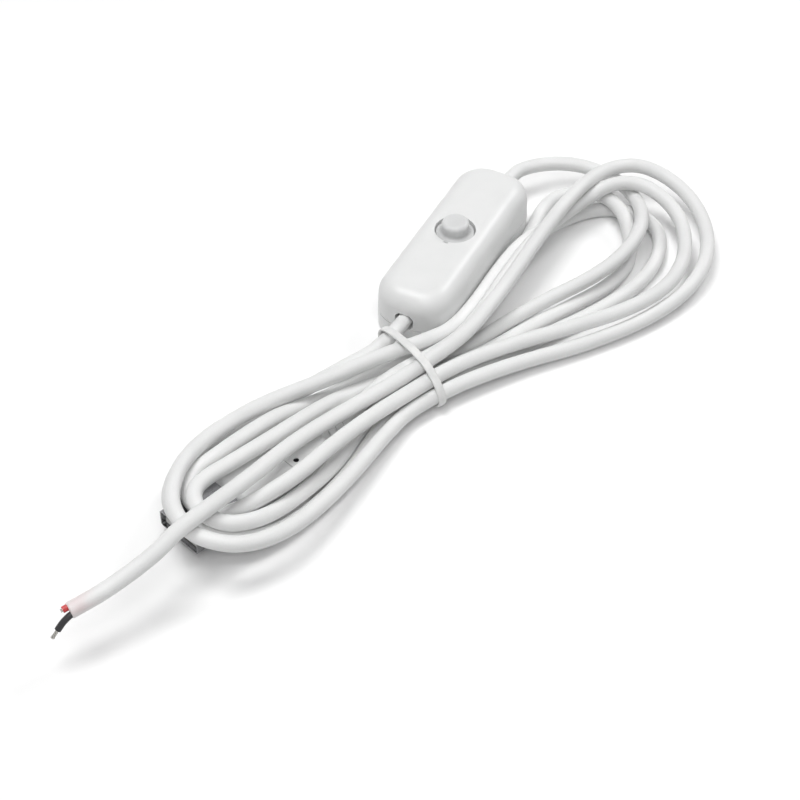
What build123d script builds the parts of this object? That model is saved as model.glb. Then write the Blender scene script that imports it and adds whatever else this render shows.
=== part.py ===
"""USB lead with an in-line push switch, tied up in a bow: plug at one end, cut wires at the other.

Millimetres. The origin is under the middle of the switch, on the surface the lead lies on,
with +X along the switch towards the cord that goes to the plug and +Z up.
"""
import math
import os

from build123d import *

# Cord, with the share of the shorter run beside a corner that its arc takes up
cord_diameter = 3.5
arc_share = 0.45
core_diameter = 1.4
conductor_diameter = 0.75
core_spacing = 1.6
red_core_length = 2.3
red_bare_length = 0.4
black_core_runs = [(1.5, 0), (2.0, 25), (2.0, 42)]
black_bare_length = 2.2

# Switch case, two shells closed from below with two screws
case_length = 55.0
case_width = 19.0
case_height = 14.0
case_corner = 7.5
case_edge = 4.5
case_draft = 2.0
case_wall = 1.8
split_height = 5.0
seam_gap = 0.2
lip_height = 1.4
lip_thickness = 0.9
fit_gap = 0.1
cord_axis_height = 7.0
cord_hole_width = 4.6
cord_hole_corner = 0.9
base_edge = 1.0
screw_inset = 10.0
screw_y = -4.9
screw_diameter = 2.2
screw_head_diameter = 4.2
screw_head_height = 1.6
screw_length = 9.5
post_diameter = 5.0
foot_post_diameter = 6.6
post_socket = 0.3
rib_inset = 2.9
rib_thickness = 1.2
rib_width = 7.0
rib_gap = 0.6
seat_wall = 0.8
seat_height = 1.5
driver_slot_length = 2.6
driver_slot_width = 0.5
driver_slot_depth = 0.8
screw_edge = 0.6

# Push button and the locking module under it
button_hole = 9.8
button_flange = 9.2
button_collar = 11.4
button_cap = 6.5
button_top = 16.6
button_flange_top = 13.4
button_collar_height = 1.0
button_travel = 1.6
button_root = 0.8
button_edge = 0.9
flange_edge = 0.3
socket_depth = 3.0
key_slot = 1.2
module_width = 8.5
module_wall = 0.9
module_floor = 0.6
module_corner = 0.5
module_cover_base = 6.8
module_cover_thickness = 0.8
stem_width = 3.0
stem_gap = 0.15
stem_shoulder = 0.9
stem_shoulder_height = 0.9
contact_thickness = 0.3
contact_width = 1.8
contact_inner = 1.4
contact_tab = 2.2
tab_hole = 0.7
tab_hole_inset = 0.8
bridge_gap = 0.5
bridge_point = 1.0
spring_wire = 0.4
spring_diameter = 5.6
spring_turns = 3

# Leads from the cord to the module: the red ones bend down to its tabs, the black one dips beside it
lead_straight = 5.0
lead_bend_x = 11.0
lead_bend_y = -0.2
lead_bend_rise = 0.3
lead_stop = 0.3
lead_dip = 1.3
lead_middle_dip = 1.6

# Plug, measured along its own axis from the mouth of the metal shell
shell_width = 12.0
shell_height = 4.5
shell_length = 19.0
shell_wall = 0.3
shell_middle = 4.0
shell_corner = 0.7
shell_seam = 0.08
window_place = 5.4
window_spacing = 5.0
window_size = 2.2
grip_start = 13.5
grip_taper_start = 30.0
grip_end = 38.6
relief_end = 47.0
grip_width = 15.5
grip_tail_width = 11.0
grip_height = 8.0
grip_corner = 3.0
grip_top_edge = 2.0
grip_base_edge = 1.5
grip_seam = 26.8
grip_seam_width = 0.35
grip_seam_depth = 0.3
pin_offset = 2.2
pin_across = -4.7
pin_diameter = 1.3
pin_depth = 1.2
relief_root = 6.4
relief_tip = 5.0
relief_overlap = 1.0
ring_count = 3
ring_start = 1.6
ring_spacing = 2.1
ring_width = 0.8
ring_depth = 0.2
grip_cord_depth = 7.0
grip_cord_run = 3.0
tongue_width = 11.3
tongue_height = 1.84
tongue_start = 0.9
tongue_length = 16.6
tongue_corner = 0.5
tongue_tip_edge = 0.3
blade_width = 1.0
blade_thickness = 0.25
blade_start = 1.9

# Tie band round the middle of the bow
band_width = 2.0
band_thickness = 0.7
band_gap = 0.12

# The bow has its own frame: x along it, y across it away from the switch's near end, z up
bow_x = -38.83
bow_y = -8.25
bow_turn = -27.6
bow = Plane((bow_x, bow_y, 0), x_dir=Vector(1, 0, 0).rotate(Axis.Z, bow_turn))

# The plug lies under the bow's left side, turned a little from the bow
plug_mouth_x = -67.9
plug_mouth_y = -9.6
plug_turn = 8.5
plug = Plane(
    bow.from_local_coords((plug_mouth_x, plug_mouth_y, 0)),
    x_dir=Vector(1, 0, 0).rotate(Axis.Z, bow_turn + plug_turn),
)

# Route of the cord from the cut end, round four loops, to the near end of the switch
wire_side_bow = [
    # cut end, over the top of the left loops to the tie
    (-97.7, -21.1, 12.5), (-90.5, -21.6, 13.5), (-79, -20.5, 15.2), (-66, -18, 15.8), (-53, -13.7, 14.2),
    (-37, -8, 11.6), (-21, -4.8, 9.1), (-7, -3, 7.6),
    # widest right loop
    (7, -1.9, 8.9), (14, -1.3, 10.1), (24, 2.5, 10.6), (35, 7.7, 11.0), (48, 14.5, 11.3), (61, 20.5, 11.2),
    (71, 24, 11.1), (79.3, 25, 10.4), (86.5, 22.7, 9.3), (90, 16.8, 8.0), (90.7, 9.2, 6.8), (88.7, 1.4, 5.8),
    (84, -6.2, 5.0), (77, -12.2, 4.0), (67, -15.7, 3.2), (54, -16.4, 2.6), (38, -14.2, 2.4),
    (22, -10.5, 3.1), (7, -8.8, 4.0),
    # widest left loop
    (-7, -8.2, 3.3), (-17, -12.3, 4.5), (-29, -18.2, 5.8), (-41, -23.3, 7.5), (-52, -26.6, 9.3),
    (-62.2, -25.9, 11.0), (-68.6, -19.8, 12.0), (-69.3, -12.8, 12.1), (-67.7, -7.2, 12.1), (-63.2, -2, 12.4),
    (-56, 2.6, 11.9), (-46.3, 5.4, 10.9), (-34.5, 5.8, 10.9), (-20.5, 4.5, 10.2), (-7, 5.2, 8.6),
    # right loop that lies lowest
    (7, 4.2, 7.3), (14, 4.5, 6.4), (24, 8.8, 5.6), (35.5, 14.9, 5.7), (47, 20, 5.6), (57, 22, 4.0),
    (65.5, 23.7, 2.0), (73.7, 22.1, 1.8), (79.8, 16, 1.8), (80.5, 8.4, 1.8), (76.6, 2.4, 1.8), (70.5, -2.3, 1.8),
    (61.2, -5.8, 1.8), (47, -6.9, 1.8), (33, -6, 1.8), (20, -6.1, 1.9), (7, -5.6, 2.65),
    # left loop that lies lowest, back to the tie
    (-7, -4.4, 2.65), (-17, -9, 1.9), (-29, -15.5, 1.8), (-41, -19.3, 2.0), (-51, -21, 3.4),
    (-59.5, -20.4, 6.2), (-65.7, -15.8, 8.1), (-67.9, -9, 8.2), (-66.3, -3.2, 8.2), (-60.5, 2.8, 7.4),
    (-53.6, 6.3, 6.2), (-43, 8.2, 5.4), (-29, 8.7, 5.5), (-14, 8.8, 6.3),
]

# Route of the cord from the plug, round five loops, to the far end of the switch
plug_side_bow = [
    # out of the plug to the tie
    (-12, -0.5, 5.35), (-4.5, 0.6, 6.0),
    # second right loop
    (7, 0.5, 6.2), (14, 0.8, 7.0), (24, 4.9, 7.4), (35, 10.8, 7.9), (48, 17, 8.1), (58.5, 20.4, 7.1),
    (68, 22, 7.2), (76, 21, 9.6), (81.7, 16.8, 9.5), (83.4, 10.3, 8.6), (82.4, 3.2, 7.8), (79, -3, 7.0),
    (73.2, -9.1, 6.3), (64, -13.4, 5.9), (51.6, -13.7, 5.8), (36.5, -10.5, 5.8), (21.5, -6.8, 5.9),
    (7, -5.2, 6.25),
    # left loop over the metal shell and back over the grip
    (-7, -6.7, 6.7), (-18, -8.5, 7.7), (-30, -11.7, 9.2), (-41, -15.2, 10.0), (-50, -16.2, 10.0),
    (-57.8, -15.2, 8.5), (-62, -12.6, 8.3), (-63.4, -8, 8.2), (-61.9, -3.7, 8.4), (-58.4, -0.9, 9.0),
    (-51, -0.4, 10.2), (-45, 0.6, 10.2), (-36.5, 1.6, 10.2), (-28, 3.7, 6.6), (-18, 5.9, 2.8), (-7, 6.7, 2.7),
    # right loop beside the switch
    (7, 5.2, 2.65), (17, 4.9, 1.8), (29, 10.8, 1.8), (42, 17.8, 1.8), (54, 24.8, 1.8), (61.3, 29.9, 1.8),
    (66.5, 32, 1.8), (71.6, 30.1, 2.5), (74.4, 25.2, 4.5), (74.8, 20, 5.7), (74.3, 15, 5.6), (72.5, 10.2, 4.6),
    (69.3, 5.2, 2.8), (64.2, 0.8, 1.9), (56, -1.6, 1.8), (45, -1.8, 1.8), (32, -1.7, 1.8), (19, -2.4, 1.8),
    (7, -1.95, 2.65),
    # small left loop on top
    (-7, -0.8, 2.65), (-18, -5.3, 2.0), (-29, -11.7, 2.8), (-39, -15.7, 4.8), (-51, -19.2, 7.0),
    (-59.5, -19.7, 10.2), (-63.2, -17.1, 11.5), (-64.6, -12.8, 11.9), (-63.2, -8.5, 11.9),
    (-59.5, -5.9, 11.4), (-51, -4.7, 10.7), (-39, -3.3, 10.3), (-28.5, -1.7, 9.8), (-18, 2.6, 4.8),
    (-7, 3, 2.7),
    # last right loop, round behind the switch
    (7, 1.65, 2.65), (17, 1.2, 2.0), (28, 2, 2.8), (39.5, 1.1, 4.6), (51.5, -0.6, 6.2), (61.5, 0, 7.6),
    (69.6, 3.3, 8.3), (75.5, 8.7, 7.8), (79.3, 14.7, 6.0), (81.5, 21.1, 5.3), (80.9, 28, 5.4),
    (77.6, 34, 6.0), (72.4, 38.2, 6.5), (66.2, 40.4, 7.0),
]

# The strands inside the tie, across and up, with two places for the one that slants
tie_strands = [
    (-8.5, 3.65), (-4.95, 2.65), (-1.33, 2.65), (2.33, 2.7), (5.95, 2.7),
    (-5.95, 6.5), (-2.45, 8.3), (0.55, 6.1), (4.7, 7.95), (9.4, 7.0), (10.1, 7.0),
]

# Where the cord enters the switch and where it stops inside
cord_entry = 4.0
near_run = 8.7
far_run = 6.2
cord_stop = case_length / 2 - cord_entry
near_straight = -case_length / 2 - near_run
far_straight = case_length / 2 + far_run

cord_radius = cord_diameter / 2
split_top = split_height + seam_gap
cavity_top = case_height - case_wall
collar_top = cavity_top - stem_gap
collar_base = collar_top - button_collar_height
module_base_height = case_wall
module_inside = module_width - 2 * module_wall
contact_base = module_base_height + module_floor
bridge_base = contact_base + contact_thickness + button_travel + fit_gap
module_top = module_cover_base + module_cover_thickness
lead_height = contact_base + contact_thickness + core_diameter / 2 + fit_gap / 2
lip_inside = case_width / 2 - case_wall - fit_gap - lip_thickness
lead_side = (module_width / 2 + lip_inside) / 2
screw_x = case_length / 2 - screw_inset
rib_x = case_length / 2 - rib_inset
cord_hole_height = 2 * (cord_axis_height - split_height)

os.makedirs("parts", exist_ok=True)


def save(piece, name):
    """Label a finished piece and write it to its own file."""
    piece.label = name
    export_step(piece, f"parts/{name}.step")


def bend_radii(points):
    """Largest arc that each corner of a route leaves room for."""
    radii = []
    for before, corner, after in zip(points, points[1:], points[2:]):
        run_in = corner - before
        run_out = after - corner
        half_turn = math.radians(run_in.get_angle(run_out)) / 2
        radii.append(arc_share * min(run_in.length, run_out.length) / math.tan(half_turn))
    return radii


def round_tube(points, diameter):
    """Solid tube along straight runs joined by tangent arcs."""
    points = [Vector(*point) for point in points]
    with BuildPart() as tube:
        with BuildLine() as route:
            FilletPolyline(*points, radius=bend_radii(points))
        with BuildSketch(Plane(points[0], z_dir=points[1] - points[0])):
            Circle(diameter / 2)
        sweep()
    return tube.part


def case_outline(inset):
    """Plan outline of the switch case, drawn in from its outer edge."""
    return RectangleRounded(case_length - 2 * inset, case_width - 2 * inset, case_corner - inset)


# Upper shell of the switch, with the button hole, its key slot and the screw posts
screw_places = [(-screw_x, screw_y), (screw_x, screw_y)]
screw_seat = screw_head_height + driver_slot_width
post_base = split_height - post_socket
with BuildPart() as upper_shell:
    with BuildSketch(Plane.XY.offset(split_top)):
        case_outline(0)
    extrude(amount=case_height - split_top, taper=case_draft)
    fillet(upper_shell.faces().sort_by(Axis.Z)[-1].edges(), case_edge)
    with BuildSketch(Plane.XY.offset(split_top)):
        case_outline(case_wall)
    extrude(amount=cavity_top - split_top, taper=case_draft, mode=Mode.SUBTRACT)
    inner_top = upper_shell.faces().filter_by_position(Axis.Z, cavity_top, cavity_top)
    fillet(inner_top.edges(), case_edge - case_wall)
    with BuildSketch(Plane.XY.offset(post_base)):
        with Locations(*screw_places):
            Circle(post_diameter / 2)
    extrude(amount=cavity_top - post_base)
    with BuildSketch(Plane.XY.offset(post_base)):
        with Locations(*screw_places):
            Circle(screw_diameter / 2)
    extrude(amount=screw_seat + screw_length - post_base, mode=Mode.SUBTRACT)
    with BuildSketch(Plane.XY.offset(case_height)):
        Circle(button_hole / 2)
        with Locations((-button_hole / 2, 0)):
            Rectangle(key_slot, key_slot)
    extrude(amount=-2 * case_wall, mode=Mode.SUBTRACT)
    with BuildSketch(Plane.YZ.offset(-case_length / 2)) as cord_hole:
        with Locations((0, cord_axis_height)):
            Rectangle(cord_hole_width, cord_hole_height)
        chamfer(cord_hole.vertices(), cord_hole_corner)
    extrude(amount=case_length, mode=Mode.SUBTRACT)
save(upper_shell.part, "upper_shell")

# Lower shell, a shallow tray with a locating lip, screw feet, module seat and cord ribs
with BuildPart() as lower_shell:
    with BuildSketch():
        case_outline(0)
    extrude(amount=split_height)
    fillet(lower_shell.faces().sort_by(Axis.Z)[0].edges(), base_edge)
    with BuildSketch(Plane.XY.offset(case_wall)):
        case_outline(case_wall)
    extrude(amount=split_height, mode=Mode.SUBTRACT)
    with BuildSketch(Plane.XY.offset(case_wall)):
        case_outline(case_wall + fit_gap)
        add(case_outline(case_wall + fit_gap + lip_thickness), mode=Mode.SUBTRACT)
    extrude(amount=split_height - case_wall + lip_height)
    with BuildSketch(Plane.XY.offset(case_wall)):
        case_outline(case_wall)
        case_outline(case_wall + lip_thickness)
        add(case_outline(case_wall + fit_gap), mode=Mode.SUBTRACT)
    extrude(amount=split_height - case_wall)
    with BuildSketch(Plane.XY.offset(case_wall)):
        Rectangle(module_width + 2 * seat_wall, module_width + 2 * seat_wall)
        Rectangle(module_width + fit_gap, module_width + fit_gap, mode=Mode.SUBTRACT)
        Rectangle(module_width + 4 * seat_wall, 2 * contact_width, mode=Mode.SUBTRACT)
    extrude(amount=seat_height)
    with BuildSketch(Plane.XY.offset(case_wall)):
        with Locations((-rib_x, 0), (rib_x, 0)):
            Rectangle(rib_thickness, rib_width)
    extrude(amount=cord_axis_height - case_wall - rib_gap)
    with BuildSketch(Plane.XY.offset(post_base - fit_gap)):
        with Locations(*screw_places):
            Circle(post_diameter / 2 + 2 * fit_gap)
    extrude(amount=2 * lip_height, mode=Mode.SUBTRACT)
    with BuildSketch(Plane.XY):
        with Locations(*screw_places):
            Circle(foot_post_diameter / 2)
    extrude(amount=post_base - fit_gap)
    with Locations(Plane((0, 0, 0), x_dir=(1, 0, 0), z_dir=(0, 0, -1))):
        with Locations(*[(x, -y) for x, y in screw_places]):
            CounterBoreHole(screw_diameter / 2, screw_head_diameter / 2 + 2 * fit_gap, screw_seat)
    with BuildSketch(Plane.YZ.offset(-case_length / 2)) as cord_hole:
        with Locations((0, cord_axis_height)):
            Rectangle(cord_hole_width, cord_hole_height)
        chamfer(cord_hole.vertices(), cord_hole_corner)
    extrude(amount=case_length, mode=Mode.SUBTRACT)
save(lower_shell.part, "lower_shell")

# Two self-tapping screws with crossed slots, driven up from below
for number, (x, y) in enumerate(screw_places, start=1):
    with BuildPart() as case_screw:
        with BuildSketch(Plane.XY.offset(screw_seat - screw_head_height)):
            with Locations((x, y)):
                Circle(screw_head_diameter / 2)
        extrude(amount=screw_head_height)
        fillet(case_screw.faces().sort_by(Axis.Z)[0].edges(), screw_edge)
        with BuildSketch(Plane.XY.offset(screw_seat)):
            with Locations((x, y)):
                Circle(screw_diameter / 2)
        extrude(amount=screw_length)
        chamfer(case_screw.faces().sort_by(Axis.Z)[-1].edges(), screw_edge)
        with BuildSketch(Plane.XY.offset(screw_seat - screw_head_height)):
            with Locations((x, y)):
                Rectangle(driver_slot_length, driver_slot_width)
                Rectangle(driver_slot_width, driver_slot_length)
        extrude(amount=driver_slot_depth, mode=Mode.SUBTRACT)
    save(case_screw.part, f"case_screw_{number}")

# Push button: cap, flange that fills the hole, collar that keeps it in, square socket for the stem
with BuildPart() as push_button:
    with BuildSketch(Plane.XY.offset(collar_base)):
        Circle(button_collar / 2)
    extrude(amount=button_collar_height)
    with BuildSketch(Plane.XY.offset(collar_base)):
        Circle(button_flange / 2)
    extrude(amount=button_flange_top - collar_base)
    fillet(push_button.faces().sort_by(Axis.Z)[-1].edges(), flange_edge)
    with BuildSketch(Plane.XY.offset(collar_base)):
        Circle(button_cap / 2)
    extrude(amount=button_top - collar_base)
    flange_top_edges = push_button.faces().filter_by(Plane.XY).sort_by(Axis.Z)[-2].edges()
    fillet(flange_top_edges.sort_by(SortBy.RADIUS)[0], button_root)
    fillet(push_button.faces().sort_by(Axis.Z)[-1].edges(), button_edge)
    with BuildSketch(Plane.XY.offset(collar_base)):
        Rectangle(stem_width, stem_width)
    extrude(amount=socket_depth, mode=Mode.SUBTRACT)
save(push_button.part, "push_button")

# Stem that carries the button down into the module, with its stop shoulder
with BuildPart() as module_stem:
    with BuildSketch(Plane.XY.offset(bridge_base + contact_thickness)):
        Rectangle(stem_width, stem_width)
    extrude(amount=collar_base + socket_depth - bridge_base - contact_thickness)
    with BuildSketch(Plane.XY.offset(module_cover_base - stem_gap)):
        Rectangle(stem_width + 2 * stem_shoulder, stem_width + 2 * stem_shoulder)
    extrude(amount=-stem_shoulder_height)
save(module_stem.part, "module_stem")

# Contact bridge fixed under the stem, with a round contact point below each end
bridge_length = module_inside - 2 * bridge_gap
with BuildPart() as contact_bridge:
    with BuildSketch(Plane.XY.offset(bridge_base)):
        Rectangle(bridge_length, contact_width)
    extrude(amount=contact_thickness)
    with Locations((0, 0, bridge_base)):
        with GridLocations(bridge_length - bridge_point, 0, 2, 1):
            Cylinder(bridge_point / 2, fit_gap, align=(Align.CENTER, Align.CENTER, Align.MAX))
save(contact_bridge.part, "contact_bridge")

# Return spring between the module and the button, closed by its flat ends
with BuildPart() as button_spring:
    spring_rise = collar_base - module_top - spring_wire - 2 * fit_gap
    with BuildLine() as coil:
        Helix(
            pitch=spring_rise / spring_turns,
            height=spring_rise,
            radius=spring_diameter / 2,
            center=(0, 0, module_top + spring_wire / 2 + fit_gap),
        )
    with BuildSketch(Plane(coil.line @ 0, z_dir=coil.line % 0)):
        Circle(spring_wire / 2)
    sweep(is_frenet=True)
save(button_spring.part, "button_spring")

# Module body, an open box with a slot in each end wall for its terminals
with BuildPart() as module_body:
    with BuildSketch(Plane.XY.offset(module_base_height)):
        Rectangle(module_width, module_width)
    extrude(amount=module_cover_base - module_base_height)
    fillet(module_body.edges().filter_by(Axis.Z), module_corner)
    with BuildSketch(Plane.XY.offset(contact_base)):
        Rectangle(module_inside, module_inside)
    extrude(amount=module_cover_base - contact_base, mode=Mode.SUBTRACT)
    with BuildSketch(Plane.XY.offset(contact_base)):
        Rectangle(2 * module_width, contact_width)
    extrude(amount=contact_thickness, mode=Mode.SUBTRACT)
save(module_body.part, "module_body")

# Module cover with a square hole for the stem
with BuildPart() as module_cover:
    with BuildSketch(Plane.XY.offset(module_cover_base)):
        RectangleRounded(module_width, module_width, module_corner)
        Rectangle(stem_width + 2 * stem_gap, stem_width + 2 * stem_gap, mode=Mode.SUBTRACT)
    extrude(amount=module_cover_thickness)
save(module_cover.part, "module_cover")

# Two fixed contacts, each a strip that runs out through the end wall as a solder tab
contact_outer = module_width / 2 + contact_tab
for name, side in (("contact_in", -1), ("contact_out", 1)):
    with BuildPart() as fixed_contact:
        with BuildSketch(Plane.XY.offset(contact_base)):
            with Locations((side * (contact_inner + contact_outer) / 2, 0)):
                Rectangle(contact_outer - contact_inner, contact_width)
            with Locations((side * (contact_outer - tab_hole_inset), 0)):
                Circle(tab_hole / 2, mode=Mode.SUBTRACT)
        extrude(amount=contact_thickness)
    save(fixed_contact.part, name)

# Leads inside the switch: the red one is broken by the module, the black one runs past it
for name, side in (("red_lead_in", -1), ("red_lead_out", 1)):
    red_route = [
        (side * cord_stop, -core_spacing / 2, cord_axis_height),
        (side * (cord_stop - lead_straight), -core_spacing / 2, cord_axis_height),
        (side * lead_bend_x, lead_bend_y, lead_height + lead_bend_rise),
        (side * (module_width / 2 + lead_stop), 0, lead_height),
    ]
    save(round_tube(red_route, core_diameter), name)
black_route = [
    (-cord_stop, core_spacing / 2, cord_axis_height),
    (-cord_stop + lead_straight, core_spacing / 2, cord_axis_height),
    (-module_width, lead_side, cord_axis_height - lead_dip),
    (0, lead_side, cord_axis_height - lead_middle_dip),
    (module_width, lead_side, cord_axis_height - lead_dip),
    (cord_stop - lead_straight, core_spacing / 2, cord_axis_height),
    (cord_stop, core_spacing / 2, cord_axis_height),
]
save(round_tube(black_route, core_diameter), "black_lead")

# Cord from the cut end to the near end of the switch
wire_side_route = [bow.from_local_coords(point) for point in wire_side_bow]
wire_side_route += [Vector(near_straight, 0, cord_axis_height), Vector(-cord_stop, 0, cord_axis_height)]
wire_side_cord = round_tube(wire_side_route, cord_diameter)
save(wire_side_cord, "wire_side_cord")

# Cord from the plug to the far end of the switch
plug_side_route = [
    plug.from_local_coords((relief_end - grip_cord_depth, 0, shell_middle)),
    plug.from_local_coords((relief_end + grip_cord_run, 0, shell_middle)),
]
plug_side_route += [bow.from_local_coords(point) for point in plug_side_bow]
plug_side_route += [Vector(far_straight, 0, cord_axis_height), Vector(cord_stop, 0, cord_axis_height)]
plug_side_cord = round_tube(plug_side_route, cord_diameter)
save(plug_side_cord, "plug_side_cord")

# Radii and lengths of both cords, to compare with the real one
section = math.pi * cord_radius**2
for name, route, cord in (
    ("wire side", wire_side_route, wire_side_cord),
    ("plug side", plug_side_route, plug_side_cord),
):
    radii = bend_radii(route)
    print(f"{name}: {len(route)} points, smallest radius {min(radii):.1f}, length {cord.volume / section:.0f}")

# Cores and bare conductors at the cut end
cut_end = Plane(
    wire_side_route[0],
    x_dir=bow.z_dir.cross(wire_side_route[0] - wire_side_route[1]),
    z_dir=wire_side_route[0] - wire_side_route[1],
)
core_place = core_spacing / math.sqrt(8)
with BuildPart() as red_core:
    with BuildSketch(cut_end):
        with Locations((-core_place, core_place)):
            Circle(core_diameter / 2)
    extrude(amount=red_core_length)
save(red_core.part, "red_core")
with BuildPart() as red_conductor:
    with BuildSketch(cut_end.offset(red_core_length)):
        with Locations((-core_place, core_place)):
            Circle(conductor_diameter / 2)
    extrude(amount=red_bare_length)
save(red_conductor.part, "red_conductor")

# The black core droops away from the jacket, each run lower than the last
black_core_route = [cut_end.from_local_coords((core_place, -core_place, 0))]
for run, droop in black_core_runs:
    run_direction = cut_end.z_dir.rotate(Axis((0, 0, 0), cut_end.x_dir), droop)
    black_core_route.append(black_core_route[-1] + run_direction * run)
save(round_tube(black_core_route, core_diameter), "black_core")
with BuildPart() as black_conductor:
    with BuildSketch(Plane(black_core_route[-1], z_dir=run_direction)):
        Circle(conductor_diameter / 2)
    extrude(amount=black_bare_length)
save(black_conductor.part, "black_conductor")


def across_plug(along):
    """Plane square to the plug's axis, x across it and y up, at a distance from the mouth."""
    middle = plug.from_local_coords((along, 0, shell_middle))
    return Plane(middle, x_dir=plug.y_dir, z_dir=plug.x_dir)


# Metal shell of the plug, a folded sheet with its seam below and two spring windows on each wide side
shell_inside = shell_width - 2 * shell_wall
shell_opening = shell_height - 2 * shell_wall
with BuildPart() as plug_shell:
    with BuildSketch(across_plug(0)):
        RectangleRounded(shell_width, shell_height, shell_corner)
        RectangleRounded(shell_inside, shell_opening, shell_corner - shell_wall, mode=Mode.SUBTRACT)
    extrude(amount=shell_length)
    with BuildSketch(plug):
        with Locations((window_place, 0)):
            with GridLocations(0, window_spacing, 1, 2):
                Rectangle(window_size, window_size)
    extrude(amount=grip_height, mode=Mode.SUBTRACT)
    with BuildSketch(plug):
        with Locations((shell_length / 2, 0)):
            Rectangle(shell_length, shell_seam)
    extrude(amount=shell_middle, mode=Mode.SUBTRACT)
save(plug_shell.part, "plug_shell")

# Tongue inside the shell, against its lower wall, with four slots for the contacts
tongue_base = shell_middle - shell_height / 2 + shell_wall
contact_places = [(-3.5, 7.4), (-1.0, 6.4), (1.0, 6.4), (3.5, 7.4)]
with BuildPart() as plug_tongue:
    with BuildSketch(across_plug(tongue_start)):
        with Locations((0, tongue_base - shell_middle)):
            RectangleRounded(tongue_width, tongue_height, tongue_corner, align=(Align.CENTER, Align.MIN))
    extrude(amount=tongue_length)
    chamfer(plug_tongue.faces().sort_by(Axis(plug.origin, plug.x_dir))[0].edges(), tongue_tip_edge)
    with BuildSketch(plug.offset(tongue_base + tongue_height)):
        for across, length in contact_places:
            with Locations((blade_start, across)):
                Rectangle(length, blade_width, align=(Align.MIN, Align.CENTER))
    extrude(amount=-blade_thickness, mode=Mode.SUBTRACT)
save(plug_tongue.part, "plug_tongue")

# Four contact blades in the tongue, the outer two longer towards the mouth
for number, (across, length) in enumerate(contact_places, start=1):
    with BuildPart() as plug_contact:
        with BuildSketch(plug.offset(tongue_base + tongue_height - blade_thickness)):
            with Locations((blade_start, across)):
                Rectangle(length, blade_width, align=(Align.MIN, Align.CENTER))
        extrude(amount=blade_thickness)
    save(plug_contact.part, f"plug_contact_{number}")

# Moulded grip with its seam, moulding dimple and ringed strain relief, cut for the shell and the cord
seam_width = grip_width - 2 * grip_seam_depth
seam_height = grip_height - 2 * grip_seam_depth
with BuildPart() as plug_grip:
    with BuildSketch(plug):
        with BuildLine():
            Polyline(
                (grip_start, -grip_width / 2),
                (grip_taper_start, -grip_width / 2),
                (grip_end, -grip_tail_width / 2),
                (grip_end, grip_tail_width / 2),
                (grip_taper_start, grip_width / 2),
                (grip_start, grip_width / 2),
                close=True,
            )
        make_face()
    extrude(amount=grip_height)
    fillet(plug_grip.edges().filter_by(Axis.Z).sort_by(Axis(plug.origin, plug.x_dir))[2:], grip_corner)
    fillet(plug_grip.faces().sort_by(Axis.Z)[-1].edges(), grip_top_edge)
    fillet(plug_grip.faces().sort_by(Axis.Z)[0].edges(), grip_base_edge)
    with BuildSketch(across_plug(grip_end - relief_overlap)):
        Circle(relief_root / 2)
    with BuildSketch(across_plug(relief_end)):
        Circle(relief_tip / 2)
    loft()
    for ring in range(ring_count):
        with BuildSketch(across_plug(grip_end + ring_start + ring * ring_spacing)):
            Circle(relief_root / 2)
            Circle(relief_tip / 2 - ring_depth, mode=Mode.SUBTRACT)
        extrude(amount=ring_width, mode=Mode.SUBTRACT)
    with BuildSketch(across_plug(grip_seam)):
        Rectangle(2 * grip_width, 2 * grip_height)
        RectangleRounded(seam_width, seam_height, grip_base_edge, mode=Mode.SUBTRACT)
    extrude(amount=grip_seam_width, mode=Mode.SUBTRACT)
    with BuildSketch(plug.offset(grip_height)):
        with Locations((grip_seam + pin_offset, pin_across)):
            Circle(pin_diameter / 2)
    extrude(amount=-pin_depth, mode=Mode.SUBTRACT)
    with BuildSketch(across_plug(grip_start)):
        RectangleRounded(shell_width, shell_height, shell_corner)
    extrude(amount=shell_length - grip_start, mode=Mode.SUBTRACT)
    with BuildSketch(across_plug(relief_end - grip_cord_depth)):
        Circle(cord_radius)
    extrude(amount=grip_cord_depth + grip_cord_run, mode=Mode.SUBTRACT)
save(plug_grip.part, "plug_grip")

# Tie band, stretched round the strands like a belt
with BuildPart() as tie_band:
    with BuildSketch(Plane(bow.origin - bow.x_dir * band_width / 2, x_dir=bow.y_dir, z_dir=bow.x_dir)):
        with BuildSketch(mode=Mode.PRIVATE) as outer_belt:
            with Locations(*tie_strands):
                Circle(cord_radius + band_gap + band_thickness)
            make_hull()
        with BuildSketch(mode=Mode.PRIVATE) as inner_belt:
            with Locations(*tie_strands):
                Circle(cord_radius + band_gap)
            make_hull()
        add(outer_belt.sketch_local)
        add(inner_belt.sketch_local, mode=Mode.SUBTRACT)
    extrude(amount=band_width)
save(tie_band.part, "tie_band")
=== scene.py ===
"""Dresses the tied-up USB lead with its in-line push switch: cord, case, plug, tie and cut wires.

Metres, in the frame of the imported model: the origin is under the middle of the switch, +X runs
along the switch towards the cord that goes to the plug, and +Z is up.
"""

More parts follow.
